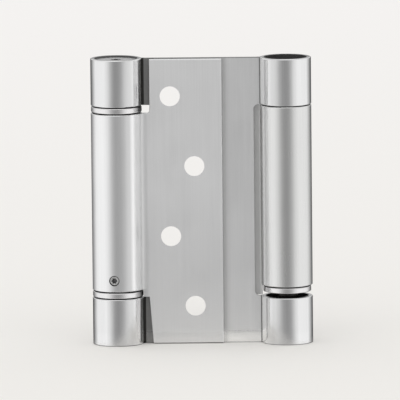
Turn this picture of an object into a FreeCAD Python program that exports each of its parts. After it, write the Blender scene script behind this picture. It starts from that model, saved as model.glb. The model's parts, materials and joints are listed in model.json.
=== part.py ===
import FreeCAD, Part
import Sketcher
import math
import os

V = FreeCAD.Vector

# Driving sizes in millimetres and degrees
DIMS = (
    ("web_height", 100.0),
    ("axis_spacing", 58.8),
    ("barrel_radius", 8.9),
    ("sheet_thickness", 1.5),
    ("knuckle_height", 16.4),
    ("bend_radius", 2.4),
    ("seam_gap", 0.3),
    ("door_relief_gap", 3.3),
    ("door_relief_corner", 0.8),
    ("frame_relief_gap", 2.3),
    ("frame_relief_corner", 1.8),
    ("leaf_gap", 0.3),
    ("leaf_short", 0.25),
    ("door_reach", 36.6),
    ("frame_reach", 26.8),
    ("notch_width", 2.6),
    ("notch_corner", 0.9),
    ("notch_flare", 0.73),
    ("tab_inset", 0.1),
    ("hole_radius", 3.5),
    ("sink_depth", 0.9),
    ("row_pitch", 24.5),
    ("door_inner_column", 18.6),
    ("door_outer_column", 26.9),
    ("frame_inner_column", 15.6),
    ("frame_outer_column", 21.2),
    ("access_radius", 4.5),
    ("run_gap", 0.2),
    ("flange_thickness", 1.9),
    ("flange_gap", 0.4),
    ("door_flange_step", 0.1),
    ("frame_flange_step", 0.55),
    ("door_end_gap", 0.35),
    ("frame_open_gap", 1.6),
    ("frame_end_gap", 0.3),
    ("press_gap", 0.04),
    ("journal_radius", 4.0),
    ("journal_gap", 0.05),
    ("bush_length", 8.0),
    ("head_recess", 0.5),
    ("head_sink", 3.5),
    ("socket_flats", 3.0),
    ("socket_depth", 4.0),
    ("socket_lead", 0.2),
    ("drive_flats", 5.2),
    ("drive_gap", 0.05),
    ("holder_gap", 0.5),
    ("holder_length", 5.0),
    ("spindle_radius", 2.2),
    ("spindle_gap", 0.15),
    ("spindle_engagement", 3.5),
    ("anchor_length", 11.0),
    ("anchor_bore_depth", 5.5),
    ("pivot_length", 7.5),
    ("pivot_tip_gap", 0.4),
    ("coil_gap", 0.8),
    ("wire_width", 2.2),
    ("wire_height", 3.4),
    ("spring_turns", 8),
    ("tail_width", 1.9),
    ("tail_length", 3.0),
    ("tail_gap", 0.2),
    ("grub_radius", 1.5),
    ("grub_thread_gap", 0.03),
    ("grub_hole_gap", 0.3),
    ("grub_height", 4.0),
    ("grub_angle", 8.0),
    ("grub_recess", 0.15),
    ("grub_tip_gap", 0.45),
    ("grub_socket_flats", 1.7),
    ("grub_socket_depth", 1.6),
    ("pin_radius", 1.0),
    ("pin_gap", 0.03),
    ("pin_height", 8.2),
    ("pin_depth", 3.0),
    ("rim_break", 0.3),
    ("edge_roll", 0.35),
)

# Sizes that follow from the driving ones, as sheet formulas
FITS = (
    ("half_spacing", "Dims.axis_spacing / 2"),
    ("half_sheet", "Dims.sheet_thickness / 2"),
    ("bore_radius", "Dims.barrel_radius - Dims.sheet_thickness"),
    ("plug_radius", "Dims.barrel_radius - Dims.sheet_thickness - Dims.press_gap"),
    ("door_flange_radius", "Dims.barrel_radius - Dims.door_flange_step"),
    ("frame_flange_radius", "Dims.barrel_radius - Dims.frame_flange_step"),
    ("holder_radius", "bore_radius - Dims.holder_gap"),
    ("coil_outer", "bore_radius - Dims.coil_gap"),
    ("coil_inner", "coil_outer - Dims.wire_width"),
    ("plate_root", "Dims.barrel_radius - 0.75 * Dims.sheet_thickness"),
    ("seam_inside", "Dims.barrel_radius - 1.6 * Dims.sheet_thickness"),
    ("seam_outside", "Dims.barrel_radius + 0.2 * Dims.sheet_thickness"),
    ("web_side", "half_spacing - plate_root"),
    ("door_window", "half_spacing - Dims.barrel_radius - Dims.door_relief_gap"),
    ("frame_window", "half_spacing - Dims.barrel_radius - Dims.frame_relief_gap"),
    ("seam_near", "half_spacing - seam_outside"),
    ("seam_far", "half_spacing - seam_inside"),
    ("web_seam_edge", "half_sheet + Dims.seam_gap"),
    ("top_knuckle", "Dims.web_height - Dims.knuckle_height"),
    ("leaf_back", "half_sheet + Dims.leaf_gap"),
    ("leaf_seam_edge", "leaf_back - Dims.seam_gap"),
    ("leaf_high", "Dims.web_height - Dims.leaf_short"),
    ("notch_edge", "Dims.barrel_radius + Dims.notch_width"),
    ("notch_crest", "notch_edge - Dims.notch_flare"),
    ("notch_foot", "notch_edge + Dims.notch_flare"),
    ("tab_low", "Dims.knuckle_height + Dims.run_gap"),
    ("door_tab_start", "door_flange_radius + Dims.tab_inset"),
    ("frame_tab_start", "frame_flange_radius + Dims.tab_inset"),
    ("row_first", "Dims.web_height / 2 - 1.5 * Dims.row_pitch"),
    ("row_second", "Dims.web_height / 2 - 0.5 * Dims.row_pitch"),
    ("row_third", "Dims.web_height / 2 + 0.5 * Dims.row_pitch"),
    ("row_fourth", "Dims.web_height / 2 + 1.5 * Dims.row_pitch"),
    ("access_inner", "half_spacing - Dims.door_inner_column"),
    ("access_outer", "half_spacing - Dims.door_outer_column"),
    ("flange_stand", "Dims.flange_thickness + Dims.flange_gap"),
    ("door_barrel_low", "Dims.knuckle_height + Dims.door_end_gap + flange_stand"),
    ("door_barrel_high", "Dims.web_height - door_barrel_low"),
    ("door_barrel_length", "door_barrel_high - door_barrel_low"),
    ("frame_barrel_low", "Dims.knuckle_height + Dims.frame_open_gap + flange_stand"),
    ("frame_barrel_high", "Dims.web_height - Dims.knuckle_height - Dims.frame_end_gap"),
    ("frame_barrel_length", "frame_barrel_high - frame_barrel_low"),
    ("door_tab_high", "door_barrel_low + Dims.rim_break"),
    ("frame_tab_high", "frame_barrel_low + Dims.rim_break"),
    ("bearing_bore", "Dims.journal_radius + Dims.journal_gap"),
    ("spindle_bore", "Dims.spindle_radius + Dims.spindle_gap"),
    ("head_end", "Dims.knuckle_height - Dims.head_sink"),
    ("socket_corner", "Dims.socket_flats / sqrt(3)"),
    ("drive_corner", "Dims.drive_flats / sqrt(3)"),
    ("drive_bore_corner", "(Dims.drive_flats + 2 * Dims.drive_gap) / sqrt(3)"),
    ("grub_socket_corner", "Dims.grub_socket_flats / sqrt(3)"),
    ("pivot_end", "top_knuckle + Dims.pivot_length"),
    ("tail_slot_inner", "coil_inner - Dims.tail_gap"),
    ("tail_slot_outer", "coil_outer + Dims.tail_gap"),
    ("tail_slot_width", "Dims.tail_width + Dims.tail_gap"),
    ("tail_slot_depth", "Dims.tail_length + 2 * Dims.tail_gap"),
    ("tail_total", "Dims.tail_length + 0.6 * Dims.wire_height"),
    ("grub_tip", "bearing_bore + Dims.grub_tip_gap"),
    ("grub_start", "Dims.barrel_radius - Dims.grub_recess"),
    ("grub_length", "grub_start - grub_tip"),
    ("grub_thread", "Dims.grub_radius + Dims.grub_thread_gap"),
    ("grub_hole", "Dims.grub_radius + Dims.grub_hole_gap"),
    ("pin_hole", "Dims.pin_radius + Dims.pin_gap"),
    ("pin_seat", "plug_radius - Dims.pin_depth"),
    ("pin_length", "Dims.barrel_radius - plug_radius + Dims.pin_depth - 2 * Dims.pin_gap"),
    ("pin_start", "pin_seat + Dims.pin_gap"),
    ("pin_high", "Dims.web_height - Dims.pin_height"),
)

# Heights along one barrel, counted from the end where its spring is wound
STACK = (
    ("{side}_flange_low", "{side}_barrel_low - flange_stand"),
    ("{side}_flange_seat", "{side}_barrel_low - Dims.flange_gap"),
    ("{side}_flange_base", "{side}_barrel_high + Dims.flange_gap"),
    ("{side}_flange_high", "{side}_barrel_high + flange_stand"),
    ("{side}_bush_end", "{side}_barrel_low + Dims.bush_length"),
    ("{side}_journal_end", "{side}_bush_end + Dims.run_gap"),
    ("{side}_drive_end", "{side}_journal_end + Dims.holder_length"),
    ("{side}_anchor_low", "{side}_barrel_high - Dims.anchor_length"),
    ("{side}_anchor_step", "{side}_barrel_high - Dims.anchor_bore_depth"),
    ("{side}_spindle_end", "{side}_anchor_low + Dims.spindle_engagement"),
    ("{side}_pivot_tip", "{side}_anchor_step + Dims.pivot_tip_gap"),
    ("{side}_coil_low", "{side}_drive_end + Dims.run_gap"),
    ("{side}_coil_top", "{side}_anchor_low - Dims.run_gap"),
    ("{side}_coil_step", "{side}_coil_low + Dims.wire_height"),
    ("{side}_coil_rise", "{side}_coil_top - {side}_coil_low - Dims.wire_height"),
    ("{side}_tail_low", "{side}_coil_low - Dims.tail_length"),
    ("{side}_tail_high", "{side}_coil_top - 0.6 * Dims.wire_height"),
    ("{side}_grub_level", "{side}_barrel_high - Dims.grub_height"),
)

# Heights of the grub screws above the floor
LEVELS = (
    ("door_grub_z", "Dims.web_height - door_grub_level"),
    ("frame_grub_z", "frame_grub_level"),
)


class Sizes:
    """The two sheets of the document and the values and references they give."""

    def __init__(self, doc):
        self.dims = doc.addObject("Spreadsheet::Sheet", "Dims")
        self.fits = doc.addObject("Spreadsheet::Sheet", "Fits")
        self.names = {}
        for row, (alias, number) in enumerate(DIMS, 1):
            self.enter(self.dims, row, alias, str(number))
        doc.recompute()
        formulas = list(FITS)
        for side in ("door", "frame"):
            formulas += [(alias.format(side=side), text.format(side=side)) for alias, text in STACK]
        formulas += LEVELS
        for row, (alias, text) in enumerate(formulas, 1):
            self.enter(self.fits, row, alias, "=" + text)
        doc.recompute()

    def enter(self, sheet, row, alias, text):
        sheet.set("A%d" % row, alias)
        sheet.set("B%d" % row, text)
        sheet.setAlias("B%d" % row, alias)
        self.names[alias] = sheet

    def value(self, alias):
        return float(self.names[alias].get(alias))

    def ref(self, alias):
        return self.names[alias].Name + "." + alias


class Piece:
    """One sub-part: a body with sketches and features whose sizes come from the sheets."""

    def __init__(self, doc, sizes, node):
        self.doc = doc
        self.sizes = sizes
        self.body = doc.addObject("PartDesign::Body", node)
        self.body.Label = node

    def sketch(self, name, role, offset=None):
        sketch = self.body.newObject("Sketcher::SketchObject", name)
        plane = next(item for item in self.body.Origin.OriginFeatures if item.Role == role)
        sketch.AttachmentSupport = [(plane, "")]
        sketch.MapMode = "FlatFace"
        if offset:
            sketch.setExpression("AttachmentOffset.Base.z", self.sizes.ref(offset))
        return sketch

    def leaning_sketch(self, name, sign):
        """Sketch on an upright plane turned about Z by the grub screw's angle."""
        sketch = self.sketch(name, "XZ_Plane")
        turned = FreeCAD.Rotation(V(0, sign, 0), self.sizes.value("grub_angle"))
        sketch.AttachmentOffset = FreeCAD.Placement(V(0, 0, 0), turned)
        sketch.setExpression("AttachmentOffset.Rotation.Angle", self.sizes.ref("grub_angle"))
        return sketch

    def signed(self, text):
        """Value of a coordinate given as a size name, with a leading minus or as 0."""
        if text == "0":
            return 0.0
        if text.startswith("-"):
            return -self.sizes.value(text[1:])
        return self.sizes.value(text)

    def pin_point(self, sketch, geometry, position, point):
        """Hold one point of the sketch at its two sizes from the origin."""
        for axis, text in zip("XY", point):
            if text == "0":
                across = -2 if axis == "X" else -1
                sketch.addConstraint(Sketcher.Constraint("PointOnObject", geometry, position, across))
                continue
            ends = (-1, 1, geometry, position)
            if text.startswith("-"):
                ends = (geometry, position, -1, 1)
            size = abs(self.signed(text))
            index = sketch.addConstraint(Sketcher.Constraint("Distance" + axis, *ends, size))
            sketch.setExpression("Constraints[%d]" % index, self.sizes.ref(text.lstrip("-")))

    def outline(self, sketch, points):
        """Closed outline through points whose coordinates are size names."""
        spots = [V(self.signed(x), self.signed(y), 0) for x, y in points]
        lines = [Part.LineSegment(a, b) for a, b in zip(spots, spots[1:] + spots[:1])]
        first = sketch.addGeometry(lines, False)[0]
        count = len(lines)
        for step in range(count):
            following = first + (step + 1) % count
            sketch.addConstraint(Sketcher.Constraint("Coincident", first + step, 2, following, 1))
        for step, point in enumerate(points):
            self.pin_point(sketch, first + step, 1, point)

    def box_outline(self, sketch, left, low, right, high):
        self.outline(sketch, ((left, low), (right, low), (right, high), (left, high)))

    def circle(self, sketch, centre, radius):
        """Circle whose centre and radius are size names."""
        spot = V(self.signed(centre[0]), self.signed(centre[1]), 0)
        shape = Part.Circle(spot, V(0, 0, 1), self.sizes.value(radius))
        index = sketch.addGeometry(shape, False)
        self.pin_point(sketch, index, 3, centre)
        held = sketch.addConstraint(Sketcher.Constraint("Radius", index, self.sizes.value(radius)))
        sketch.setExpression("Constraints[%d]" % held, self.sizes.ref(radius))

    def hexagon(self, sketch, corner):
        """Regular hexagon about the sketch origin, its corners on a circle of the given size."""
        reach = self.sizes.value(corner)
        spots = [V(reach * math.cos(math.pi / 3 * k), reach * math.sin(math.pi / 3 * k), 0) for k in range(6)]
        lines = [Part.LineSegment(a, b) for a, b in zip(spots, spots[1:] + spots[:1])]
        first = sketch.addGeometry(lines, False)[0]
        ring = sketch.addGeometry(Part.Circle(V(0, 0, 0), V(0, 0, 1), reach), True)
        self.pin_point(sketch, ring, 3, ("0", "0"))
        held = sketch.addConstraint(Sketcher.Constraint("Radius", ring, reach))
        sketch.setExpression("Constraints[%d]" % held, self.sizes.ref(corner))
        for step in range(6):
            sketch.addConstraint(Sketcher.Constraint("Coincident", first + step, 2, first + (step + 1) % 6, 1))
            sketch.addConstraint(Sketcher.Constraint("PointOnObject", first + step, 1, ring))
            if step:
                sketch.addConstraint(Sketcher.Constraint("Equal", first, first + step))
        sketch.addConstraint(Sketcher.Constraint("PointOnObject", first, 1, -1))

    def feature(self, kind, name, profile, **settings):
        """Solid feature on a profile; settings that name a size are bound to it."""
        item = self.body.newObject("PartDesign::" + kind, name)
        item.Profile = profile
        for key, setting in settings.items():
            if isinstance(setting, str) and setting in self.sizes.names:
                item.setExpression(key, self.sizes.ref(setting))
            else:
                setattr(item, key, setting)
        self.doc.recompute()
        return item

    def pad(self, name, profile, length, **settings):
        return self.feature("Pad", name, profile, Length=length, **settings)

    def pocket(self, name, profile, length=None, **settings):
        """Cut to a depth, or right through both ways when no depth is given."""
        before = self.body.Shape.Volume
        if length:
            item = self.feature("Pocket", name, profile, Length=length, **settings)
        else:
            item = self.feature("Pocket", name, profile, SideType="Two sides", Type="ThroughAll",
                                Type2="ThroughAll", **settings)
        if self.body.Shape.Volume >= before:
            raise ValueError("%s of %s cuts nothing" % (name, self.body.Label))
        return item

    def turn(self, name, points):
        """Solid of revolution about the body's Z axis from an outline of radius and height sizes."""
        profile = self.sketch(name + "_profile", "XZ_Plane")
        self.outline(profile, points)
        return self.feature("Revolution", name, profile, ReferenceAxis=(profile, ["V_Axis"]), Angle=360.0)

    def edges(self, test):
        """Names of the edges of the body so far that a test accepts."""
        names = ["Edge%d" % count for count, edge in enumerate(self.body.Shape.Edges, 1) if test(edge)]
        if not names:
            raise ValueError("no edge found on " + self.body.Label)
        return names

    def dress(self, kind, name, size, test):
        """Fillet or chamfer on the edges that a test accepts."""
        names = self.edges(test)
        item = self.body.newObject("PartDesign::" + kind, name)
        item.Base = (self.body.Tip if self.body.Tip != item else item.BaseFeature, names)
        item.setExpression("Radius" if kind == "Fillet" else "Size", self.sizes.ref(size))
        self.doc.recompute()
        return item

    def place(self, x=None, z=None, axis=V(0, 0, 1), angle=0.0):
        """Set the piece at its place in the hinge."""
        self.body.Placement = FreeCAD.Placement(V(0, 0, 0), FreeCAD.Rotation(axis, angle))
        if x:
            sign = "-" if x.startswith("-") else ""
            self.body.setExpression("Placement.Base.x", sign + self.sizes.ref(x.lstrip("-")))
        if z:
            self.body.setExpression("Placement.Base.z", self.sizes.ref(z))
        self.doc.recompute()


def near(a, b):
    return abs(a - b) < 1e-4


def upright(edge, x, y):
    """Whether an edge is a straight upright line at x, y."""
    if edge.Curve.TypeId != "Part::GeomLine":
        return False
    ends = [vertex.Point for vertex in edge.Vertexes]
    return len(ends) == 2 and all(near(p.x, x) and near(p.y, y) for p in ends)


def crosswise(edge, x, z):
    """Whether an edge is a straight line along Y at x, z."""
    if edge.Curve.TypeId != "Part::GeomLine":
        return False
    ends = [vertex.Point for vertex in edge.Vertexes]
    return len(ends) == 2 and all(near(p.x, x) and near(p.z, z) for p in ends)


def lengthwise(edge, y, z):
    """Whether an edge is a straight line along X at y, z."""
    if edge.Curve.TypeId != "Part::GeomLine":
        return False
    ends = [vertex.Point for vertex in edge.Vertexes]
    return len(ends) == 2 and all(near(p.y, y) and near(p.z, z) for p in ends)


def level_ring(edge, radius, z):
    """Whether an edge is part of a level circle of a radius at a height."""
    curve = edge.Curve
    if curve.TypeId != "Part::GeomCircle":
        return False
    return near(curve.Radius, radius) and near(curve.Center.z, z) and near(abs(curve.Axis.z), 1)


# One edge of the web, from the foot to the top, with its window between the knuckles
def web_edge(window):
    return [("web_side", "0"), ("web_side", "knuckle_height"), (window, "knuckle_height"),
            (window, "top_knuckle"), ("web_side", "top_knuckle"), ("web_side", "web_height")]


# Centre web: a flat plate with four curled knuckles
def build_web(doc, sizes):
    web = Piece(doc, sizes, "centre_web")
    value = sizes.value
    plate = web.sketch("web_outline", "XZ_Plane")
    frame_edge = web_edge("frame_window")
    door_edge = [("-" + x, z) for x, z in reversed(web_edge("door_window"))]
    web.outline(plate, frame_edge + door_edge)
    web.pad("web_plate", plate, "sheet_thickness", SideType="Symmetric")

    for side, sign in (("door", -1), ("frame", 1)):
        window = sign * value(side + "_window")
        corners = [(window, value("knuckle_height")), (window, value("top_knuckle"))]
        web.dress("Fillet", side + "_window_corners", side + "_relief_corner",
                  lambda edge: any(crosswise(edge, x, z) for x, z in corners))

    for level, height in (("low", None), ("high", "top_knuckle")):
        rings = web.sketch("knuckle_rings_" + level, "XY_Plane", height)
        for axis in ("half_spacing", "-half_spacing"):
            web.circle(rings, (axis, "0"), "barrel_radius")
            web.circle(rings, (axis, "0"), "bore_radius")
        web.pad("knuckles_" + level, rings, "knuckle_height")

    seams = web.sketch("knuckle_seams", "XY_Plane")
    web.box_outline(seams, "seam_near", "-web_seam_edge", "seam_far", "-half_sheet")
    web.box_outline(seams, "-seam_far", "-web_seam_edge", "-seam_near", "-half_sheet")
    web.pocket("knuckle_seam_slots", seams)

    half = value("half_sheet")
    foot = value("half_spacing") - math.sqrt(value("barrel_radius") ** 2 - half ** 2)
    web.dress("Fillet", "knuckle_bends", "bend_radius",
              lambda edge: upright(edge, foot, half) or upright(edge, -foot, half))

    access = web.sketch("access_circles", "XZ_Plane")
    web.circle(access, ("-access_inner", "row_second"), "access_radius")
    web.circle(access, ("-access_inner", "row_fourth"), "access_radius")
    web.circle(access, ("-access_outer", "row_first"), "access_radius")
    web.circle(access, ("-access_outer", "row_third"), "access_radius")
    web.pocket("access_holes", access)

    pins = web.sketch("pin_circles", "XZ_Plane")
    web.circle(pins, ("-half_spacing", "pin_high"), "pin_hole")
    web.circle(pins, ("half_spacing", "pin_height"), "pin_hole")
    web.pocket("pin_holes", pins, "half_spacing")

    levels = [0.0, value("knuckle_height"), value("top_knuckle"), value("web_height")]
    web.dress("Fillet", "knuckle_rims", "rim_break",
              lambda edge: any(level_ring(edge, value("barrel_radius"), z) for z in levels))
    return web


# Leaf: a flat sheet curled into a barrel, with notches, screw holes and a seam
def build_leaf(doc, sizes, side, holes):
    leaf = Piece(doc, sizes, side + "_leaf")
    value = sizes.value
    low, high, reach = side + "_barrel_low", side + "_barrel_high", side + "_reach"
    ring = leaf.sketch(side + "_barrel_ring", "XY_Plane", low)
    leaf.circle(ring, ("0", "0"), "barrel_radius")
    leaf.circle(ring, ("0", "0"), "bore_radius")
    leaf.pad(side + "_barrel", ring, side + "_barrel_length")

    plate = leaf.sketch(side + "_leaf_outline", "XZ_Plane", "leaf_back")
    leaf.outline(plate, (("plate_root", low), ("notch_crest", low), ("notch_foot", "leaf_short"),
                         (reach, "leaf_short"), (reach, "leaf_high"), ("notch_edge", "leaf_high"),
                         ("notch_edge", high), ("plate_root", high)))
    leaf.pad(side + "_plate", plate, "sheet_thickness")

    seam = leaf.sketch(side + "_seam", "XY_Plane")
    leaf.box_outline(seam, "seam_inside", "-leaf_back", "seam_outside", "-leaf_seam_edge")
    leaf.pocket(side + "_seam_slot", seam)

    face = value("leaf_back") + value("sheet_thickness")
    foot = math.sqrt(value("barrel_radius") ** 2 - face ** 2)
    leaf.dress("Fillet", side + "_bend", "bend_radius", lambda edge: upright(edge, foot, -face))

    leaf.dress("Fillet", side + "_upper_notch_corner", "notch_corner",
               lambda edge: crosswise(edge, value("notch_edge"), value(high)))
    leaf.dress("Fillet", side + "_rims", "rim_break",
               lambda edge: any(level_ring(edge, value("barrel_radius"), value(z)) for z in (low, high)))

    tab = leaf.sketch(side + "_tab_outline", "XZ_Plane", "leaf_back")
    leaf.box_outline(tab, side + "_tab_start", "tab_low", "notch_foot", side + "_tab_high")
    leaf.pad(side + "_tab", tab, "sheet_thickness")

    screws = leaf.sketch(side + "_screw_circles", "XZ_Plane")
    for column, row in holes:
        leaf.circle(screws, (column, row), "hole_radius")
    leaf.pocket(side + "_screw_holes", screws)
    leaf.dress("Chamfer", side + "_sinks", "sink_depth",
               lambda edge: sink_edge(edge, value("hole_radius"), -value("leaf_back")))

    ends = (value("leaf_short"), value("leaf_high"))
    leaf.dress("Fillet", side + "_edge_roll", "edge_roll",
               lambda edge: upright(edge, value(reach), -face)
               or any(lengthwise(edge, -face, z) for z in ends))

    lean = -1 if side == "door" else 1
    grub = leaf.leaning_sketch(side + "_grub_circle", lean)
    leaf.circle(grub, ("0", side + "_grub_z"), "grub_hole")
    leaf.pocket(side + "_grub_opening", grub, "notch_edge", Reversed=True)
    return leaf


def sink_edge(edge, radius, y):
    """Whether an edge is a hole's rim in the plane at y."""
    curve = edge.Curve
    if curve.TypeId != "Part::GeomCircle":
        return False
    return near(curve.Radius, radius) and near(curve.Center.y, y)


# Adjuster: the head turned with a key to wind the spring, its journal, hex drive and spindle
def build_adjuster(doc, sizes, side):
    item = Piece(doc, sizes, side + "_adjuster")
    value = sizes.value
    journal_end, spindle_end = side + "_journal_end", side + "_spindle_end"
    item.turn(side + "_adjuster_turning", (
        ("0", "head_recess"), ("plug_radius", "head_recess"), ("plug_radius", "head_end"),
        ("journal_radius", "head_end"), ("journal_radius", journal_end), ("spindle_radius", journal_end),
        ("spindle_radius", spindle_end), ("0", spindle_end)))
    drive = item.sketch(side + "_drive_hexagon", "XY_Plane", journal_end)
    item.hexagon(drive, "drive_corner")
    item.pad(side + "_drive", drive, "holder_length")
    item.dress("Chamfer", side + "_head_rim", "rim_break",
               lambda edge: level_ring(edge, value("plug_radius"), value("head_recess")))

    socket = item.sketch(side + "_socket_hexagon", "XY_Plane", "head_recess")
    item.hexagon(socket, "socket_corner")
    item.pocket(side + "_socket", socket, "socket_depth", Reversed=True)
    item.dress("Chamfer", side + "_socket_mouth", "socket_lead",
               lambda edge: edge.Curve.TypeId == "Part::GeomLine"
               and all(near(vertex.Z, value("head_recess")) for vertex in edge.Vertexes))

    hole = item.sketch(side + "_lock_circle", "XZ_Plane", "pin_seat")
    item.circle(hole, ("0", "pin_height"), "pin_hole")
    first = item.pocket(side + "_lock_hole", hole, "pin_depth", Reversed=True)
    ring = item.body.newObject("PartDesign::PolarPattern", side + "_lock_holes")
    ring.Originals = [first]
    ring.Axis = (next(line for line in item.body.Origin.OriginFeatures if line.Role == "Z_Axis"), [""])
    ring.Angle = 360.0
    ring.Occurrences = 6
    item.body.Tip = ring
    doc.recompute()
    return item


# Flanged bush: the bearing pressed into the barrel's end, its flange seen as a ring
def build_bush(doc, sizes, side):
    item = Piece(doc, sizes, side + "_bush")
    value = sizes.value
    flange, low, seat, end = (side + "_" + name for name in ("flange_radius", "flange_low", "flange_seat", "bush_end"))
    item.turn(side + "_bush_turning", (
        ("bearing_bore", low), (flange, low), (flange, seat), ("plug_radius", seat),
        ("plug_radius", end), ("bearing_bore", end)))
    item.dress("Fillet", side + "_bush_rims", "rim_break",
               lambda edge: any(level_ring(edge, value(flange), value(z)) for z in (low, seat)))
    return item


# Spring holder: the collar on the adjuster's hex drive that carries the spring's first tail
def build_holder(doc, sizes, side):
    item = Piece(doc, sizes, side + "_spring_holder")
    disc = item.sketch(side + "_holder_disc", "XY_Plane", side + "_journal_end")
    item.circle(disc, ("0", "0"), "holder_radius")
    item.hexagon(disc, "drive_bore_corner")
    item.pad(side + "_holder", disc, "holder_length")
    slot = item.sketch(side + "_holder_slot_outline", "XY_Plane", side + "_drive_end")
    item.box_outline(slot, "tail_slot_inner", "-tail_gap", "seam_outside", "tail_slot_width")
    item.pocket(side + "_holder_slot", slot, "tail_slot_depth")
    return item


# Torsion spring: square-section wire wound round the spindle, with a tail at each end
def build_spring(doc, sizes, side):
    item = Piece(doc, sizes, side + "_spring")
    section = item.sketch(side + "_wire_section", "XZ_Plane")
    item.box_outline(section, "coil_inner", side + "_coil_low", "coil_outer", side + "_coil_step")
    item.feature("AdditiveHelix", side + "_coil", section, ReferenceAxis=(section, ["V_Axis"]),
                 Mode="height-turns-angle", Height=side + "_coil_rise", Turns="spring_turns")
    first = item.sketch(side + "_first_tail_outline", "XY_Plane", side + "_tail_low")
    item.box_outline(first, "coil_inner", "0", "coil_outer", "tail_width")
    item.pad(side + "_first_tail", first, "tail_total")
    last = item.sketch(side + "_last_tail_outline", "XY_Plane", side + "_tail_high")
    item.box_outline(last, "coil_inner", "-tail_width", "coil_outer", "0")
    item.pad(side + "_last_tail", last, "tail_total")
    return item


# Spring anchor: the plug locked in the barrel that takes the last tail and turns on the pivot
def build_anchor(doc, sizes, side):
    item = Piece(doc, sizes, side + "_anchor")
    value = sizes.value
    low, step, end = side + "_anchor_low", side + "_anchor_step", side + "_barrel_high"
    profile = [("spindle_bore", low), ("plug_radius", low)]
    if side == "door":
        end = "door_flange_high"
        profile += [("plug_radius", "door_flange_base"), ("door_flange_radius", "door_flange_base"),
                    ("door_flange_radius", end)]
    else:
        profile += [("plug_radius", end)]
    profile += [("bearing_bore", end), ("bearing_bore", step), ("spindle_bore", step)]
    item.turn(side + "_anchor_turning", profile)
    slot = item.sketch(side + "_anchor_slot_outline", "XY_Plane", low)
    item.box_outline(slot, "tail_slot_inner", "-tail_slot_width", "tail_slot_outer", "tail_gap")
    item.pocket(side + "_anchor_slot", slot, "tail_slot_depth", Reversed=True)
    thread = item.leaning_sketch(side + "_thread_circle", 1)
    item.circle(thread, ("0", side + "_grub_level"), "grub_thread")
    item.pocket(side + "_thread", thread, "notch_edge")
    if side == "door":
        item.dress("Fillet", side + "_anchor_rims", "rim_break",
                   lambda edge: any(level_ring(edge, value("door_flange_radius"), value(z))
                                    for z in ("door_flange_base", end)))
    return item


# Grub screw: locks the anchor in the barrel
def build_grub_screw(doc, sizes, side):
    item = Piece(doc, sizes, side + "_grub_screw")
    shank = item.sketch(side + "_grub_disc", "XY_Plane", "grub_tip")
    item.circle(shank, ("0", "0"), "grub_radius")
    item.pad(side + "_grub_shank", shank, "grub_length")
    socket = item.sketch(side + "_grub_hexagon", "XY_Plane", "grub_start")
    item.hexagon(socket, "grub_socket_corner")
    item.pocket(side + "_grub_socket", socket, "grub_socket_depth")
    return item


# Pivot: the plug in the other knuckle, its journal running in the anchor
def build_pivot(doc, sizes, side):
    item = Piece(doc, sizes, side + "_pivot")
    value = sizes.value
    tip = side + "_pivot_tip"
    item.turn(side + "_pivot_turning", (
        ("0", tip), ("journal_radius", tip), ("journal_radius", "top_knuckle"),
        ("plug_radius", "top_knuckle"), ("plug_radius", "pivot_end"), ("0", "pivot_end")))
    item.dress("Chamfer", side + "_pivot_rim", "rim_break",
               lambda edge: level_ring(edge, value("plug_radius"), value("pivot_end")))
    return item


# Lock pin: holds the wound adjuster in its knuckle
def build_lock_pin(doc, sizes, side):
    item = Piece(doc, sizes, side + "_lock_pin")
    disc = item.sketch(side + "_pin_disc", "XY_Plane", "pin_start")
    item.circle(disc, ("0", "0"), "pin_radius")
    item.pad(side + "_pin", disc, "pin_length")
    return item


# Everything inside one barrel, set on its axis
def build_side(doc, sizes, side):
    axis = "-half_spacing" if side == "door" else "half_spacing"
    pieces = []
    for build in (build_adjuster, build_bush, build_holder, build_spring, build_anchor, build_pivot):
        piece = build(doc, sizes, side)
        if side == "door":
            piece.place(axis, "web_height", V(1, 0, 0), 180.0)
        else:
            piece.place(axis)
        pieces.append(piece)
    lean = math.radians(sizes.value("grub_angle"))
    facing = -1 if side == "door" else 1
    aim = V(-math.sin(lean), facing * math.cos(lean), 0)
    screw = build_grub_screw(doc, sizes, side)
    aimed(screw, axis, side + "_grub_z", aim)
    pin = build_lock_pin(doc, sizes, side)
    aimed(pin, axis, "pin_high" if side == "door" else "pin_height", V(0, 1, 0))
    return pieces + [screw, pin]


def aimed(piece, axis, height, aim):
    """Place a piece on a barrel's axis with its own Z along a direction."""
    turn = FreeCAD.Rotation(V(0, 0, 1), aim)
    piece.place(axis, height, turn.Axis, math.degrees(turn.Angle))


def check_and_write(doc, pieces):
    """Refuse a document with a failed object, then write one STEP file for each piece."""
    for item in doc.Objects:
        if "Invalid" in item.State or "Error" in item.State:
            raise ValueError("object failed: " + item.Label)
    os.makedirs("parts", exist_ok=True)
    for piece in pieces:
        shape = piece.body.Shape
        if shape.isNull() or not shape.isValid() or len(shape.Solids) != 1:
            raise ValueError("shape failed: " + piece.body.Label)
        shape.exportStep("parts/" + piece.body.Label + ".step")


doc = FreeCAD.newDocument("double_action_spring_hinge")
sizes = Sizes(doc)
web = build_web(doc, sizes)
door_leaf = build_leaf(doc, sizes, "door", (
    ("door_inner_column", "row_fourth"), ("door_outer_column", "row_third"),
    ("door_inner_column", "row_second"), ("door_outer_column", "row_first")))
door_leaf.place("-half_spacing")
frame_leaf = build_leaf(doc, sizes, "frame", (
    ("frame_outer_column", "row_fourth"), ("frame_inner_column", "row_third"),
    ("frame_inner_column", "row_second"), ("frame_outer_column", "row_first")))
frame_leaf.place("half_spacing", None, V(0, 0, 1), 180.0)
inner = build_side(doc, sizes, "door") + build_side(doc, sizes, "frame")
doc.recompute()
check_and_write(doc, [web, door_leaf, frame_leaf] + inner)
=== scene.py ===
"""Looks of the double action spring hinge: finishes, threaded screws, springs, studio and camera."""

import json
import logging
import math
from collections.abc import Sequence
from dataclasses import dataclass
from enum import Enum
from typing import Any

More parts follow.
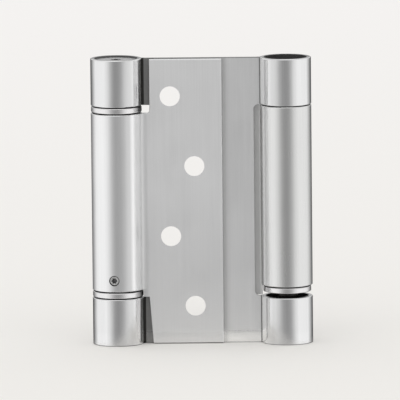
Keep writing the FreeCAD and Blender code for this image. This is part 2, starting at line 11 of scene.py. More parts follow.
import bpy
import numpy as np
from mathutils import Matrix, Vector


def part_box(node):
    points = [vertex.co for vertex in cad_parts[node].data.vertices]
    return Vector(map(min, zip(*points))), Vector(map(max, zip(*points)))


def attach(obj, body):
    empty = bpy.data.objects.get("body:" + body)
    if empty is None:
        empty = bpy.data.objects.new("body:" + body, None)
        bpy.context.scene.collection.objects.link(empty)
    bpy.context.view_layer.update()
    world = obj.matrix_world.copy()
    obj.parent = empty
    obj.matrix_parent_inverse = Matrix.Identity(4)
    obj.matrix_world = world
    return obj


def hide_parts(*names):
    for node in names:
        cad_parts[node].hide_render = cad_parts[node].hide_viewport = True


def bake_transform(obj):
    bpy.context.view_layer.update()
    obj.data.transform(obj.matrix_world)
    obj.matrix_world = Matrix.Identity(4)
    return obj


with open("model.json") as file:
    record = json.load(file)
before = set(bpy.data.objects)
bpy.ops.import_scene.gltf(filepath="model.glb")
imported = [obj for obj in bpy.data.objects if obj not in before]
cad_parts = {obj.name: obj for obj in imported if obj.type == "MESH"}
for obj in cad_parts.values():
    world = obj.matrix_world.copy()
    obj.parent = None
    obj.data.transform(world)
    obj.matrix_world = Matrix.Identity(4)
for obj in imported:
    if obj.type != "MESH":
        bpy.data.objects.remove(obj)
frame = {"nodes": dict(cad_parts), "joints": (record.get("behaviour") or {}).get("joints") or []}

LOG = logging.getLogger("spring_hinge")
Tree = bpy.types.NodeTree
# What goes into a node from another: a socket, or a node by its first output
Feed = bpy.types.Node | bpy.types.NodeSocket
Pair = tuple[float, float]

MM = 0.001
AXIS_MM = max(joint["pos_m"][0] for joint in frame["joints"]) / MM
IMAGE_PX = 400
BLACK = "#000000"
WHITE = "#ffffff"
# Most of a noise's values lie between these
NOISE = (0.3, 0.7)
# Grey level of the surround by a direction's place from in front of the hinge, nought, to behind it, one
SURROUND = ((0.0, 0.34), (0.015, 0.40), (0.10, 0.88), (0.22, 1.1), (0.66, 1.05), (0.78, 0.65),
            (0.90, 0.22), (1.0, 0.05))


class Side(Enum):
    """The two barrels: the door's, left of the web, and the frame's, right of it."""

    DOOR = -1
    FRAME = 1

    @property
    def prefix(self) -> str:
        """Start of the names of this barrel's nodes."""
        return self.name.lower()

    @property
    def axis_mm(self) -> float:
        """X of this barrel's axis."""
        return self.value * AXIS_MM


def linear(hex_colour: str) -> tuple[float, float, float, float]:
    """Turn an sRGB hex colour into linear values.

    Args:
        hex_colour: colour as "#rrggbb".

    Returns:
        Linear red, green, blue and an alpha of one.
    """
    parts = np.array([int(hex_colour[k:k + 2], 16) / 255 for k in (1, 3, 5)])
    low = parts / 12.92
    high = ((parts + 0.055) / 1.055) ** 2.4
    red, green, blue = np.where(parts <= 0.04045, low, high)
    return float(red), float(green), float(blue), 1.0


def metres(span_mm: Pair) -> Pair:
    """Turn both ends of a span from millimetres into metres."""
    return span_mm[0] * MM, span_mm[1] * MM


def about(middle: float, spread: float) -> Pair:
    """Make the span that reaches equally far to either side of its middle."""
    return middle - spread, middle + spread


def add_node(tree: Tree, kind: str, inputs: dict[str, Any] | tuple[Any, ...] = (),
             **settings: Any) -> bpy.types.Node:
    """Add one node with its settings, links and constants.

    Args:
        tree: node tree that gets the node.
        kind: node type without the ShaderNode prefix.
        inputs: what goes in, by name or in the node's own order. A socket is linked, a node is
            linked by its first output, and anything else is a constant.
        settings: properties of the node itself.

    Returns:
        The new node.
    """
    node = tree.nodes.new("ShaderNode" + kind)
    for key, setting in settings.items():
        setattr(node, key, setting)
    for key, source in inputs.items() if isinstance(inputs, dict) else enumerate(inputs):
        if isinstance(source, bpy.types.Node):
            source = source.outputs[0]
        if isinstance(source, bpy.types.NodeSocket):
            tree.links.new(source, node.inputs[key])
        else:
            node.inputs[key].default_value = source
    return node


def ramp(node: bpy.types.Node, stops: Sequence[Pair]) -> bpy.types.Node:
    """Fill a colour ramp with grey stops.

    Args:
        node: colour ramp node.
        stops: position and grey level of each stop, in rising order.

    Returns:
        The same node.
    """
    elements = node.color_ramp.elements
    while len(elements) < len(stops):
        elements.new(1.0)
    for element, (place, grey) in zip(elements, stops):
        element.position = place
        element.color = (grey, grey, grey, 1.0)
    return node


def empty_material(name: str) -> bpy.types.Material:
    """Make a material without nodes.

    Args:
        name: name of the real material.

    Returns:
        A node material with an empty tree.
    """
    material = bpy.data.materials.new(name)
    material.use_nodes = True
    material.node_tree.nodes.clear()
    return material


def barrel_reach(tree: Tree, place: Feed) -> tuple[Feed, Feed, Feed]:
    """Measure each point from the nearer barrel axis.

    Args:
        tree: node tree of the material.
        place: object coordinates in metres.

    Returns:
        The level distance from the axis, the distance outward along X, and the height.
    """
    parts = add_node(tree, "SeparateXYZ", (place,))
    side = add_node(tree, "Math", (parts.outputs["X"],), operation="ABSOLUTE")
    outward = add_node(tree, "Math", (side, AXIS_MM * MM), operation="SUBTRACT")
    level = add_node(tree, "CombineXYZ", (outward, parts.outputs["Y"]))
    reach = add_node(tree, "VectorMath", (level,), operation="LENGTH")
    return reach.outputs["Value"], outward, parts.outputs["Z"]


@dataclass(frozen=True)
class BrushedSheet:
    """Stainless sheet with fine lines brushed up and down, and glossier where it is rolled.

    The lines are a noise stretched along the height. The rolls press the curled steel smooth, so
    the roughness falls from the flat sheet towards the outer side of the curl. Shade is painted, dark
    and less metallic, into the bores, onto the barrels' end faces, along the cut ends, in the creases
    beside the knuckles and along the door leaf's edge. Bands of painted highlight and painted shade
    run along the flank of a curl that faces the web. The flat sheet may darken downwards, and near its
    foot a painted reflection of the floor lightens it while its roughness drops. Real lines are finer:
    these are as coarse as they need to be to show.
    """

    name: str
    colour: str
    line_colour: str
    roughness: float
    rolled_roughness: float
    rolled_mm: Pair = (-9.6, -8.0)
    rolled_lines: float = 0.1
    line_mm: float = 0.35
    line_stretch: float = 0.012
    line_gloss: float = 0.04
    line_depth_mm: float = 0.001
    cloud_mm: float = 16.0
    cloud_gloss: float = 0.05
    wave_depth_mm: float = 0.15
    low_mm: Pair = (20.0, 60.0)
    low_tone: float = 1.0
    # Near the foot a painted reflection of the floor lifts the colour towards white and lowers the roughness
    foot_mm: Pair = (3.0, 5.4)
    foot_gloss_and_painted_reflection: float = 0.0
    # Colour of the painted shade in bores, on end faces, along cut ends and in creases, and how far it
    # lowers the metallic
    painted_shade_colour: str = "#3c3b3a"
    shade_matt_share: float = 0.7
    bore_mm: float = 8.4
    bore_share: float = 0.88
    cut_mm: float = 0.26
    cut_share: float = 0.6
    curl_mm: float = 9.2
    height_mm: float = 100.0
    # Strips of painted shade on the front: start and end along X, and share
    painted_shade_strips_mm: tuple[tuple[float, float, float], ...] = ()
    # Bands of painted highlight and painted shade: distance outward from the nearer axis, and tone
    painted_flank_bands_mm: tuple[Pair, ...] = ((-9.6, 1.0), (-0.6, 1.0))

    def build(self) -> bpy.types.Material:
        """Make the material.

        Returns:
            A new node material.
        """
        material = empty_material(self.name)
        tree = material.node_tree
        place = add_node(tree, "TexCoord").outputs["Object"]
        reach, outward, height = barrel_reach(tree, place)
        stretched = add_node(tree, "Mapping", {"Vector": place, "Scale": (1.0, 1.0, self.line_stretch)})
        lines = add_node(tree, "TexNoise", {"Vector": stretched, "Scale": 1.0 / (self.line_mm * MM),
                                            "Detail": 3.0, "Roughness": 0.55})
        clouds = add_node(tree, "TexNoise", {"Vector": place, "Scale": 1.0 / (self.cloud_mm * MM),
                                             "Detail": 2.0})
        flat = add_node(tree, "MapRange", (outward, *metres(self.rolled_mm), 1.0, self.rolled_lines),
                        interpolation_type="SMOOTHSTEP")
        low = add_node(tree, "MapRange", (height, *metres(self.foot_mm), self.foot_gloss_and_painted_reflection, 0.0),
                       interpolation_type="SMOOTHSTEP")
        foot = add_node(tree, "Math", (low, flat), operation="MULTIPLY")
        painted_dark = self.painted_shade_share(tree, place, reach, height)

        brushed = add_node(tree, "MixRGB", (lines, linear(self.line_colour), linear(self.colour)))
        toned = self.toned(tree, brushed, outward, height, flat)
        # Painted reflection of the floor: the foot's colour is lifted towards white
        with_painted_reflection = add_node(tree, "MixRGB", (foot, toned, linear(WHITE)))
        tint = add_node(tree, "MixRGB", (painted_dark, with_painted_reflection, linear(self.painted_shade_colour)))
        rough = self.rough(tree, lines, clouds, outward, flat, foot)
        metal = add_node(tree, "MapRange", (painted_dark, 0.0, 1.0, 1.0, 1.0 - self.shade_matt_share))
        waves = add_node(tree, "Bump", {"Height": clouds, "Strength": 1.0,
                                        "Distance": self.wave_depth_mm * MM})
        bump = add_node(tree, "Bump", {"Height": lines, "Strength": flat, "Normal": waves,
                                       "Distance": self.line_depth_mm * MM})
        shader = add_node(tree, "BsdfPrincipled", {"Base Color": tint, "Roughness": rough, "Metallic": metal,
                                                   "Normal": bump})
        add_node(tree, "OutputMaterial", {"Surface": shader})
        return material

    def toned(self, tree: Tree, colour: Feed, outward: Feed, height: Feed, flat: Feed) -> Feed:
        """Paint bands of highlight and shade along the flanks of the curls, and tone the colour down the
        flat sheet.

        Args:
            tree: node tree of the material.
            colour: the brushed colour.
            outward: distance outward from the nearer barrel axis.
            height: height above the floor.
            flat: one on the flat sheet, falling on the curl.

        Returns:
            The toned colour.
        """
        start, end = self.painted_flank_bands_mm[0][0], self.painted_flank_bands_mm[-1][0]
        across = add_node(tree, "MapRange", (outward, *metres((start, end)), 0.0, 1.0))
        # Painted highlight and painted shade bands across the flank of the curl
        flank = ramp(add_node(tree, "ValToRGB", (across,)),
                     [((mark - start) / (end - start), tone) for mark, tone in self.painted_flank_bands_mm])
        rolled = add_node(tree, "MixRGB", (1.0, colour, flank), blend_type="MULTIPLY")
        low = add_node(tree, "MapRange", (height, *metres(self.low_mm), 1.0 - self.low_tone, 0.0),
                       interpolation_type="SMOOTHSTEP")
        dim = add_node(tree, "Math", (low, flat), operation="MULTIPLY")
        return add_node(tree, "MixRGB", (dim, rolled, linear(BLACK)))

    def rough(self, tree: Tree, lines: Feed, clouds: Feed, outward: Feed, flat: Feed, foot: Feed) -> Feed:
        """Work out the roughness, uneven on the flat sheet and lower on the curl and at the foot.

        Args:
            tree: node tree of the material.
            lines: noise of the brushed lines.
            clouds: noise of the wide clouds.
            outward: distance outward from the nearer barrel axis.
            flat: one on the flat sheet, falling on the curl.
            foot: share of the foot, where the roughness drops and a painted reflection of the floor lightens
                the colour.

        Returns:
            The roughness.
        """
        gloss = add_node(tree, "MapRange", (lines, *NOISE, *about(0.0, self.line_gloss)))
        smear = add_node(tree, "MapRange", (clouds, *NOISE, *about(0.0, self.cloud_gloss)))
        spread = add_node(tree, "Math", (gloss, smear), operation="ADD")
        uneven = add_node(tree, "Math", (spread, flat), operation="MULTIPLY")
        base = add_node(tree, "MapRange",
                        (outward, *metres(self.rolled_mm), self.roughness, self.rolled_roughness),
                        interpolation_type="SMOOTHSTEP")
        matt = add_node(tree, "Math", (1.0, foot), operation="SUBTRACT")
        rubbed = add_node(tree, "Math", (base, matt), operation="MULTIPLY")
        return add_node(tree, "Math", (rubbed, uneven), operation="ADD")

    def painted_shade_share(self, tree: Tree, place: Feed, reach: Feed, height: Feed) -> Feed:
        """Find where shade is painted on the sheet.

        Args:
            tree: node tree of the material.
            place: object coordinates.
            reach: level distance from the nearer barrel axis.
            height: height above the floor.

        Returns:
            The share of painted shade at a cut end, a bore, or a crease on the front, and nought elsewhere.
        """
        # Painted shade in the bores and on the barrels' end faces where they meet the next part
        inside = add_node(tree, "Math", (reach, self.bore_mm * MM), operation="LESS_THAN")
        bore = add_node(tree, "Math", (inside, self.bore_share), operation="MULTIPLY")
        # Painted shade along the cut ends: the plate's top edge, and the contact line at the floor
        level = add_node(tree, "Math", (height, self.height_mm * MM, self.cut_mm * MM), operation="COMPARE")
        plate = add_node(tree, "Math", (reach, self.curl_mm * MM), operation="GREATER_THAN")
        top = add_node(tree, "Math", (level, plate), operation="MULTIPLY")
        foot = add_node(tree, "Math", (height, self.cut_mm * MM), operation="LESS_THAN")
        ends = add_node(tree, "Math", (top, foot), operation="MAXIMUM")
        cut = add_node(tree, "Math", (ends, self.cut_share), operation="MULTIPLY")
        share = add_node(tree, "Math", (bore, cut), operation="MAXIMUM")
        axes = add_node(tree, "SeparateXYZ", (place,))
        front = add_node(tree, "Math", (axes.outputs["Y"], 0.0), operation="LESS_THAN")
        # Painted shade in the creases beside the knuckles and along the door leaf's edge
        for start, end, shade_depth in self.painted_shade_strips_mm:
            middle, half = metres(((start + end) / 2, (end - start) / 2))
            near = add_node(tree, "Math", (axes.outputs["X"], middle, half), operation="COMPARE")
            crease = add_node(tree, "Math", (near, front), operation="MULTIPLY")
            crease_shade = add_node(tree, "Math", (crease, shade_depth), operation="MULTIPLY")
            share = add_node(tree, "Math", (share, crease_shade), operation="MAXIMUM")
        return share


@dataclass(frozen=True)
class TurnedSteel:
    """Steel with fine rings about the nearer barrel axis, from a lathe or from drawing the wire.

    The rings are a noise over the distance from the axis and the height, and not over the angle.
    A dark film of lubricant lies near the axis and along the lubricated heights, where it also stands in
    for the shade in the gaps between parts; on the flanges the same colour is painted shade over the end
    faces and towards the leaf's curl. Real rings are finer: these are as coarse as they need to be to show.
    """

    name: str
    colour: str
    ring_colour: str
    roughness: float
    ring_mm: float = 0.22
    ring_gloss: float = 0.05
    ring_strength: float = 0.3
    ring_depth_mm: float = 0.004
    # Colour of the lubricant, which also stands for painted shade in the gaps and on the flanges' end faces
    oil_and_shade_colour: str = "#1e1e1e"
    oil_and_shade_mm: float = 1.8
    grease_and_shade_mm: Pair = (13.5, 86.5)
    shaded_mm: Pair = (-23.2, -21.0)
    shaded_share: float = 0.0

    def build(self) -> bpy.types.Material:
        """Make the material.

        Returns:
            A new node material.
        """
        material = empty_material(self.name)
        tree = material.node_tree
        place = add_node(tree, "TexCoord").outputs["Object"]
        reach, _, height = barrel_reach(tree, place)
        section = add_node(tree, "CombineXYZ", (reach, height))
        rings = add_node(tree, "TexNoise", {"Vector": section, "Scale": 1.0 / (self.ring_mm * MM),
                                            "Detail": 2.0})
        ringed = add_node(tree, "MixRGB", (rings, linear(self.ring_colour), linear(self.colour)))
        # Lubricant and painted shade darken the rings
        oil_and_shade = self.oil_and_shade_share(tree, place, reach, height)
        tint = add_node(tree, "MixRGB", (oil_and_shade, ringed, linear(self.oil_and_shade_colour)))
        rough = add_node(tree, "MapRange", (rings, *NOISE, *about(self.roughness, self.ring_gloss)))
        bump = add_node(tree, "Bump", {"Height": rings, "Strength": self.ring_strength,
                                       "Distance": self.ring_depth_mm * MM})
        shader = add_node(tree, "BsdfPrincipled", {"Base Color": tint, "Roughness": rough, "Metallic": 1.0,
                                                   "Normal": bump})
        add_node(tree, "OutputMaterial", {"Surface": shader})
        return material

    def oil_and_shade_share(self, tree: Tree, place: Feed, reach: Feed, height: Feed) -> Feed:
        """Find where lubricant and painted shade darken the steel.

        Args:
            tree: node tree of the material.
            place: object coordinates.
            reach: level distance from the nearer barrel axis.
            height: height above the floor.

        Returns:
            One under lubricant and painted shade, rising to the shaded share of painted shade towards the
            leaf's curl, nought elsewhere.
        """
        inner = add_node(tree, "Math", (reach, self.oil_and_shade_mm * MM), operation="LESS_THAN")
        low, high = metres(self.grease_and_shade_mm)
        grease_and_shade = add_node(tree, "Math", (height, (low + high) / 2, (high - low) / 2), operation="COMPARE")
        oil_and_shade_zone = add_node(tree, "Math", (inner, grease_and_shade), operation="MAXIMUM")
        # Painted shade rising towards the leaf's curl
        across = add_node(tree, "SeparateXYZ", (place,)).outputs["X"]
        rise = add_node(tree, "MapRange", (across, *metres(self.shaded_mm), 0.0, self.shaded_share),
                        interpolation_type="SMOOTHSTEP")
        left = add_node(tree, "Math", (across, 0.0), operation="LESS_THAN")
        shaded = add_node(tree, "Math", (rise, left), operation="MULTIPLY")
        return add_node(tree, "Math", (oil_and_shade_zone, shaded), operation="MAXIMUM")


@dataclass(frozen=True)
class PlatedSteel:
    """Small steel hardware, plated, oxidised or ground, with an even and faintly grained surface.

    Real grain is finer: this is as coarse as it needs to be to show.
    """

    name: str
    colour: str
    grain_colour: str
    roughness: float
    grain_mm: float = 0.25
    grain_gloss: float = 0.06

    def build(self) -> bpy.types.Material:
        """Make the material.

        Returns:
            A new node material.
        """
        material = empty_material(self.name)
        tree = material.node_tree
        place = add_node(tree, "TexCoord").outputs["Object"]
        grain = add_node(tree, "TexNoise", {"Vector": place, "Scale": 1.0 / (self.grain_mm * MM),
                                            "Detail": 3.0})
        tint = add_node(tree, "MixRGB", (grain, linear(self.grain_colour), linear(self.colour)))
        rough = add_node(tree, "MapRange", (grain, *NOISE, *about(self.roughness, self.grain_gloss)))
        shader = add_node(tree, "BsdfPrincipled", {"Base Color": tint, "Roughness": rough, "Metallic": 1.0})
        add_node(tree, "OutputMaterial", {"Surface": shader})
        return material


# Painted shadow of the door leaf's edge on the web, which fades away from the leaf
LEAF_EDGE_PAINTED_SHADOW = ((7.25, 7.6, 0.30), (7.6, 8.3, 0.23), (8.3, 8.65, 0.16), (8.65, 9.0, 0.10), (9.0, 9.35, 0.06),
             (9.35, 9.9, 0.03))
# Brushed stainless sheet is pale with a soft sheen, and its curls carry bands of light, partly reflected
# and partly painted highlight and painted shade: the web's have a high polish, and the leaves' a satin one
WEB_SHEET = BrushedSheet(
    "stainless_sheet_web", "#e9e9e9", "#dddddd", 0.56, 0.17, rolled_mm=(-9.4, -8.6), bore_mm=7.6,
    wave_depth_mm=0.25, foot_gloss_and_painted_reflection=0.95, painted_shade_colour="#1d1c19",
    # Painted shade in the notch and the crevice beside the knuckles, and the door leaf edge's painted shadow
    painted_shade_strips_mm=((-20.6, -19.8, 1.0), (-19.8, -16.2, 0.76), (20.25, 20.6, 0.7), *LEAF_EDGE_PAINTED_SHADOW),
    painted_flank_bands_mm=((-9.4, 1.0), (-8.6, 1.2), (-7.2, 1.2), (-6.0, 0.98), (-4.8, 0.82), (-2.6, 0.82),
               (-0.6, 1.0)))
DOOR_SHEET = BrushedSheet(
    "stainless_sheet_door", "#f3f3f3", "#e8e8e8", 0.60, 0.31, foot_gloss_and_painted_reflection=0.4, low_tone=0.92,
    painted_flank_bands_mm=((-10.8, 1.0), (-10.0, 0.88), (-8.5, 0.8), (-7.8, 1.1), (-5.6, 1.1), (-4.6, 0.73),
               (-2.6, 0.73), (-0.6, 1.0)))
# The frame leaf's sheet is darker than the door leaf's as painted shade for its less lit side
FRAME_SHEET = BrushedSheet(
    "stainless_sheet_frame", "#e2e2e1", "#d7d7d6", 0.60, 0.27, painted_shade_strips_mm=((20.3, 20.75, 0.6),),
    painted_flank_bands_mm=((-9.6, 1.0), (-8.8, 1.28), (-6.8, 1.28), (-5.6, 1.0)))
# Turned bright steel shows pale rings, dark under lubricant and where shade is painted, and spring wire is
# dark under its lubricant
TURNED = TurnedSteel("bright_steel_turned", "#efeeee", "#dcdbdb", 0.24, oil_and_shade_colour="#454443")
# The flanges carry painted shade on their end faces and towards the door leaf's curl
FLANGED = TurnedSteel("bright_steel_flange", "#efeeee", "#dcdbdb", 0.24, oil_and_shade_mm=8.1,
                      grease_and_shade_mm=(0.0, 0.0), shaded_share=0.85)
SPRING = TurnedSteel("spring_wire_oiled", "#77787a", "#646568", 0.36, ring_mm=0.5)
# Zinc plate is an even pale grey, the oxide in the sockets is darker, and ground steel is glossier
SCREW = PlatedSteel("screw_steel_zinc_plated", "#dededc", "#c8c8c7", 0.42)
SOCKET = PlatedSteel("screw_socket_oxide", "#8a898a", "#767576", 0.5)
GROUND = PlatedSteel("dowel_steel_ground", "#c6c6c6", "#b2b2b2", 0.30)


def dress(material: bpy.types.Material, nodes: list[str]) -> None:
    """Give CAD nodes a finish.

    Args:
        material: finish to use.
        nodes: names of the CAD nodes.
    """
    for name in nodes:
        mesh = frame["nodes"][name].data
        mesh.materials.clear()
        mesh.materials.append(material)
        LOG.info("finished %s with %s", name, material.name)


@dataclass
class SheetWork:
    """The folded centre web and the two leaves."""

    web: str = "centre_web"
    leaf_suffix: str = "_leaf"

    def dress(self) -> None:
        """Give the web and the leaves their sheet finishes."""
        dress(WEB_SHEET.build(), [self.web])
        dress(DOOR_SHEET.build(), [Side.DOOR.prefix + self.leaf_suffix])
        dress(FRAME_SHEET.build(), [Side.FRAME.prefix + self.leaf_suffix])


@dataclass
class GrubScrew:
    """A threaded grub screw with a hexagon socket, leaning a little off the hinge's square."""

    side: Side
    outer_mm: float = 1.5
    core_mm: float = 1.19
    pitch_mm: float = 0.5
    root_share: float = 0.15
    flank_share: float = 0.7
    head_mm: float = 8.75
    length_mm: float = 4.25
    lean_deg: float = 8.0
    face_mm: float = 1.36
    face_slope: float = 2.0
    flats_mm: float = 1.7
    lead_mm: float = 0.15
    lead_rim_mm: float = 0.04
    socket_mm: float = 1.6
    tip_mm: float = 0.8
    sharp_deg: float = 35.0
    around: int = 96
    along: int = 120

    @property
    def angles(self) -> np.ndarray:
        """Angle of each point of a row."""
        return np.linspace(0.0, 2 * math.pi, self.around, endpoint=False)

    def rows(self) -> tuple[np.ndarray, np.ndarray]:
        """Depths and radii of the rows of points from the socket's floor to the tip.

        The thread's radius is a triangle wave of depth over pitch less angle over a turn, cut flat
        at crest and root, and held under a cone at either end and outside the face. The socket's
        radius is half the flats over the cosine of the angle from the nearest flat.

        Returns:
            Depth below the head of each row, and radius of each row at each angle, in millimetres.
        """
        turned = np.mod(self.angles, math.pi / 3) - math.pi / 6
        socket = self.flats_mm / 2 / np.cos(turned)
        lead = np.full_like(socket, self.flats_mm / math.sqrt(3) + self.lead_rim_mm)
        depth = np.linspace(0.0, self.length_mm, self.along)
        below = depth[:, None]
        wave = np.mod(below / self.pitch_mm - self.angles[None, :] / (2 * math.pi), 1.0)
        flank = np.clip((np.abs(2 * wave - 1) - self.root_share) / self.flank_share, 0.0, 1.0)
        thread = self.core_mm + (self.outer_mm - self.core_mm) * flank
        cone = np.minimum(self.face_mm + below, self.tip_mm + (self.length_mm - below))
        thread = np.maximum(np.minimum(thread, cone), self.face_mm - self.face_slope * below)
        depths = np.concatenate([[self.socket_mm, self.lead_mm, 0.0], depth])
        return depths, np.vstack([socket, socket, lead, thread])

    def build(self) -> bpy.types.Object:
        """Make the screw in its place, at the height of its CAD solid.

        A point lies on the screw's leaning line at its row's depth, and its row's radius away from it.

        Returns:
            The new object, which rides on the leaf.
        """
        depths, radii = self.rows()
        lean = math.radians(self.lean_deg)
        out = np.array([-math.sin(lean), self.side.value * math.cos(lean), 0.0])
        up = np.array([0.0, 0.0, 1.0])
        right = np.cross(up, out)
        circle = np.cos(self.angles)[:, None] * right + np.sin(self.angles)[:, None] * up
        low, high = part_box(self.side.prefix + "_grub_screw")
        base = np.array([self.side.axis_mm, 0.0, (low[2] + high[2]) / 2 / MM])
        heads = base + (self.head_mm - depths)[:, None] * out
        points = heads[:, None, :] + radii[:, :, None] * circle[None, :, :]
        row = np.arange(len(depths) - 1)[:, None] * self.around
        here = np.arange(self.around)
        after = np.roll(here, -1)
        quads = np.stack([row + here, row + self.around + here, row + self.around + after, row + after], -1)
        last = (len(depths) - 1) * self.around
        caps = [here.tolist(), (last + here[::-1]).tolist()]
        mesh = bpy.data.meshes.new(self.side.prefix + "_threaded_grub_screw")
        mesh.from_pydata((points.reshape(-1, 3) * MM).tolist(), [], quads.reshape(-1, 4).tolist() + caps)
        mesh.polygons.foreach_set("use_smooth", np.ones(len(mesh.polygons), dtype=bool))
        mesh.set_sharp_from_angle(angle=math.radians(self.sharp_deg))
        screw = bpy.data.objects.new(mesh.name, mesh)
        bpy.context.scene.collection.objects.link(screw)
        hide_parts(self.side.prefix + "_grub_screw")
        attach(screw, self.side.prefix + "_side")
        return screw

    def dress(self, screw: bpy.types.Object) -> None:
        """Give the screw its plating, and its socket, the first row of faces and a cap, a dark one.

        Args:
            screw: the built screw.
        """
        screw.data.materials.append(SCREW.build())
        screw.data.materials.append(SOCKET.build())
        inside = np.zeros(len(screw.data.polygons), dtype=np.int32)
        inside[:self.around] = 1
        inside[-2] = 1
        screw.data.polygons.foreach_set("material_index", inside)
        LOG.info("built %s with %s and %s", screw.name, SCREW.name, SOCKET.name)


@dataclass
class TorsionSpring:
    """A torsion spring with the shape of its CAD solid, copied into its place.
    """

    side: Side
    tail_mm: float = 3.0

    def build(self) -> bpy.types.Object:
        """Make the spring in its place.

        Returns:
            The new object, a copy of the CAD spring.
        """
        node = self.side.prefix + "_spring"
        mesh = frame["nodes"][node].data.copy()
        mesh.name = node + "_coils"
        spring = bpy.data.objects.new(mesh.name, mesh)
        bpy.context.scene.collection.objects.link(spring)
        low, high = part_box(node)
        ends = [low[2] + self.tail_mm * MM, high[2] - self.tail_mm * MM]
        if self.side is Side.DOOR:
            ends.reverse()
        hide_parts(node)
        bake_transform(spring)
        return spring

    def dress(self, spring: bpy.types.Object) -> None:
        """Give the spring its finish, dark under lubricant.

        Args:
            spring: the built spring.
        """
        spring.data.materials.clear()
        spring.data.materials.append(SPRING.build())
        LOG.info("built %s with %s", spring.name, SPRING.name)


@dataclass
class BarrelKit:
    """Everything turned, wound or threaded in the barrels."""

    turned: tuple[str, ...] = ("adjuster", "spring_holder", "pivot")
    flanged: tuple[str, ...] = ("bush", "anchor")

    def build(self) -> None:
        """Make the threaded grub screws and copy the springs."""
        for side in Side:
            maker = GrubScrew(side)
            maker.dress(maker.build())
            winder = TorsionSpring(side)
            winder.dress(winder.build())

    def dress(self) -> None:
        """Give the turned pieces and lock pins their finishes."""
        dress(TURNED.build(), [side.prefix + "_" + name for side in Side for name in self.turned])
        dress(FLANGED.build(), [side.prefix + "_" + name for side in Side for name in self.flanged])
        dress(GROUND.build(), [side.prefix + "_lock_pin" for side in Side])


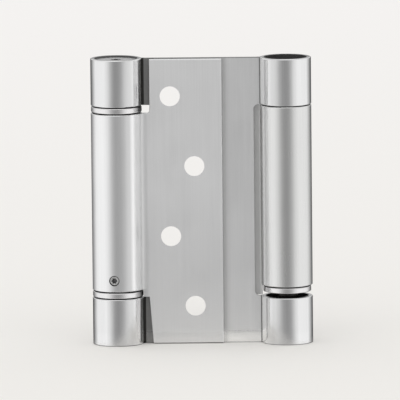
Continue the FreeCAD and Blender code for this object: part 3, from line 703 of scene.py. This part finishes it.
@dataclass
class Studio:
    """Plain pale floor, soft light and the camera of the photograph."""

    azimuth_deg: float = 0.391
    elevation_deg: float = 7.667
    roll_deg: float = -0.556
    distance_mm: float = 3000.0
    focal_px: float = 8627.6
    centre_px: Pair = (201.89, 200.11)
    target_mm: tuple[float, float, float] = (0.0, 0.0, 50.0)
    sensor_mm: float = 36.0
    clip_mm: float = 10.0
    floor_colour: str = "#f3f1ed"
    far_colour: str = "#f8f6f4"
    paper_mm: Pair = (-150.0, 1050.0)
    floor_half_mm: float = 60000.0
    mirror_mm: Pair = (15.0, 45.0)
    backdrop_colour: str = "#f8f5f2"
    sky_rise: Pair = (0.02, 0.30)
    sky_grey: float = 0.85
    lamp_strength: float = 0.4
    lamp_spread_deg: float = 70.0
    lamp_tilt_deg: Pair = (12.0, -8.0)

    def camera(self) -> bpy.types.Object:
        """Set the camera at the photograph's angle.

        Returns:
            The camera object.
        """
        data = bpy.data.cameras.new("photo_camera")
        data.sensor_width = self.sensor_mm
        data.lens = self.focal_px / IMAGE_PX * self.sensor_mm
        data.shift_x = (IMAGE_PX / 2 - self.centre_px[0]) / IMAGE_PX
        data.shift_y = (self.centre_px[1] - IMAGE_PX / 2) / IMAGE_PX
        data.clip_start = self.clip_mm * MM
        camera = bpy.data.objects.new("photo_camera", data)
        bpy.context.scene.collection.objects.link(camera)
        turn, rise = math.radians(self.azimuth_deg), math.radians(self.elevation_deg)
        away = Vector((math.sin(turn) * math.cos(rise), -math.cos(turn) * math.cos(rise), math.sin(rise)))
        target = Vector(self.target_mm) * MM
        facing = (-away).to_track_quat("-Z", "Y").to_matrix().to_4x4()
        roll = Matrix.Rotation(math.radians(self.roll_deg), 4, "Z")
        camera.matrix_world = Matrix.Translation(target + away * self.distance_mm * MM) @ facing @ roll
        bpy.context.scene.camera = camera
        return camera

    def world(self) -> None:
        """Surround the hinge with soft light that is brighter at the sides than in front and behind.

        The level follows the front-to-back share of the direction, so the rolled barrels show a grey
        band in the middle and bright flanks, and rays from the camera see the plain backdrop.
        """
        world = bpy.data.worlds.new("soft_studio")
        bpy.context.scene.world = world
        world.use_nodes = True
        tree = world.node_tree
        tree.nodes.clear()
        way = add_node(tree, "TexCoord").outputs["Generated"]
        parts = add_node(tree, "SeparateXYZ", (way,))
        level = add_node(tree, "CombineXYZ", (parts.outputs["X"], parts.outputs["Y"]))
        flat = add_node(tree, "VectorMath", (level,), operation="NORMALIZE")
        ahead = add_node(tree, "SeparateXYZ", (flat,)).outputs["Y"]
        share = add_node(tree, "MapRange", (ahead, -1.0, 1.0, 0.0, 1.0))
        band = ramp(add_node(tree, "ValToRGB", (share,)), SURROUND)
        height = add_node(tree, "MapRange", (parts.outputs["Z"], *self.sky_rise, 0.0, 1.0))
        sky = add_node(tree, "MixRGB", (height, band, (self.sky_grey, self.sky_grey, self.sky_grey, 1.0)))
        soft = add_node(tree, "Background", {"Color": sky, "Strength": 1.0})
        plain = add_node(tree, "Background", {"Color": linear(self.backdrop_colour), "Strength": 1.0})
        seen = add_node(tree, "LightPath").outputs["Is Camera Ray"]
        mix = add_node(tree, "MixShader", (seen, soft, plain))
        add_node(tree, "OutputWorld", {"Surface": mix})

    def floor(self) -> None:
        """Lay a wide level floor of four corners."""
        corners = np.array([(-1, -1), (1, -1), (1, 1), (-1, 1)]) * self.floor_half_mm * MM
        points = np.column_stack([corners, np.zeros(4)])
        mesh = bpy.data.meshes.new("pale_floor")
        mesh.from_pydata(points.tolist(), [], [(0, 1, 2, 3)])
        floor = bpy.data.objects.new("pale_floor", mesh)
        bpy.context.scene.collection.objects.link(floor)
        mesh.materials.append(self.floor_paint())

    def floor_paint(self) -> bpy.types.Material:
        """Make the floor's matt white paint, which metal mirrors only near the hinge's foot.

        The paint is lighter towards the back, a painted fall of light. Away from the foot, mirrored rays
        pass to the soft surround. The share that passes rises with the distance from the origin.

        Returns:
            A node material.
        """
        material = empty_material("floor_matt_white")
        tree = material.node_tree
        place = add_node(tree, "TexCoord").outputs["Object"]
        axes = add_node(tree, "SeparateXYZ", (place,))
        # Painted fall of light: the floor's paint is lighter towards the back
        back = add_node(tree, "MapRange", (axes.outputs["Y"], *metres(self.paper_mm), 0.0, 1.0))
        shade = add_node(tree, "MixRGB", (back, linear(self.floor_colour), linear(self.far_colour)))
        paint = add_node(tree, "BsdfDiffuse", {"Color": shade})
        clear = add_node(tree, "BsdfTransparent")
        reach = add_node(tree, "VectorMath", (place,), operation="LENGTH").outputs["Value"]
        far = add_node(tree, "MapRange", (reach, *metres(self.mirror_mm), 0.0, 1.0))
        glossy = add_node(tree, "LightPath").outputs["Is Glossy Ray"]
        passed = add_node(tree, "Math", (far, glossy), operation="MULTIPLY")
        mix = add_node(tree, "MixShader", (passed, paint, clear))
        add_node(tree, "OutputMaterial", {"Surface": mix})
        return material

    def lamp(self) -> None:
        """Hang one far, very soft lamp above the hinge for the shadow on the floor."""
        data = bpy.data.lights.new("overhead_softbox", "SUN")
        data.angle = math.radians(self.lamp_spread_deg)
        data.energy = self.lamp_strength
        lamp = bpy.data.objects.new("overhead_softbox", data)
        lamp.rotation_euler = (*(math.radians(tilt) for tilt in self.lamp_tilt_deg), 0.0)
        bpy.context.scene.collection.objects.link(lamp)

    def build(self) -> None:
        """Set up everything around the hinge."""
        self.camera()
        self.world()
        self.floor()
        self.lamp()
        bpy.context.scene.view_settings.view_transform = "Standard"
        LOG.info("studio ready")


def main() -> None:
    """Dress the hinge, add its screws and springs, and set up its studio."""
    logging.basicConfig(level=logging.INFO, format="%(name)s %(message)s")
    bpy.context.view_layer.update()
    SheetWork().dress()
    kit = BarrelKit()
    kit.dress()
    kit.build()
    Studio().build()


if __name__ == "__main__":
    main()
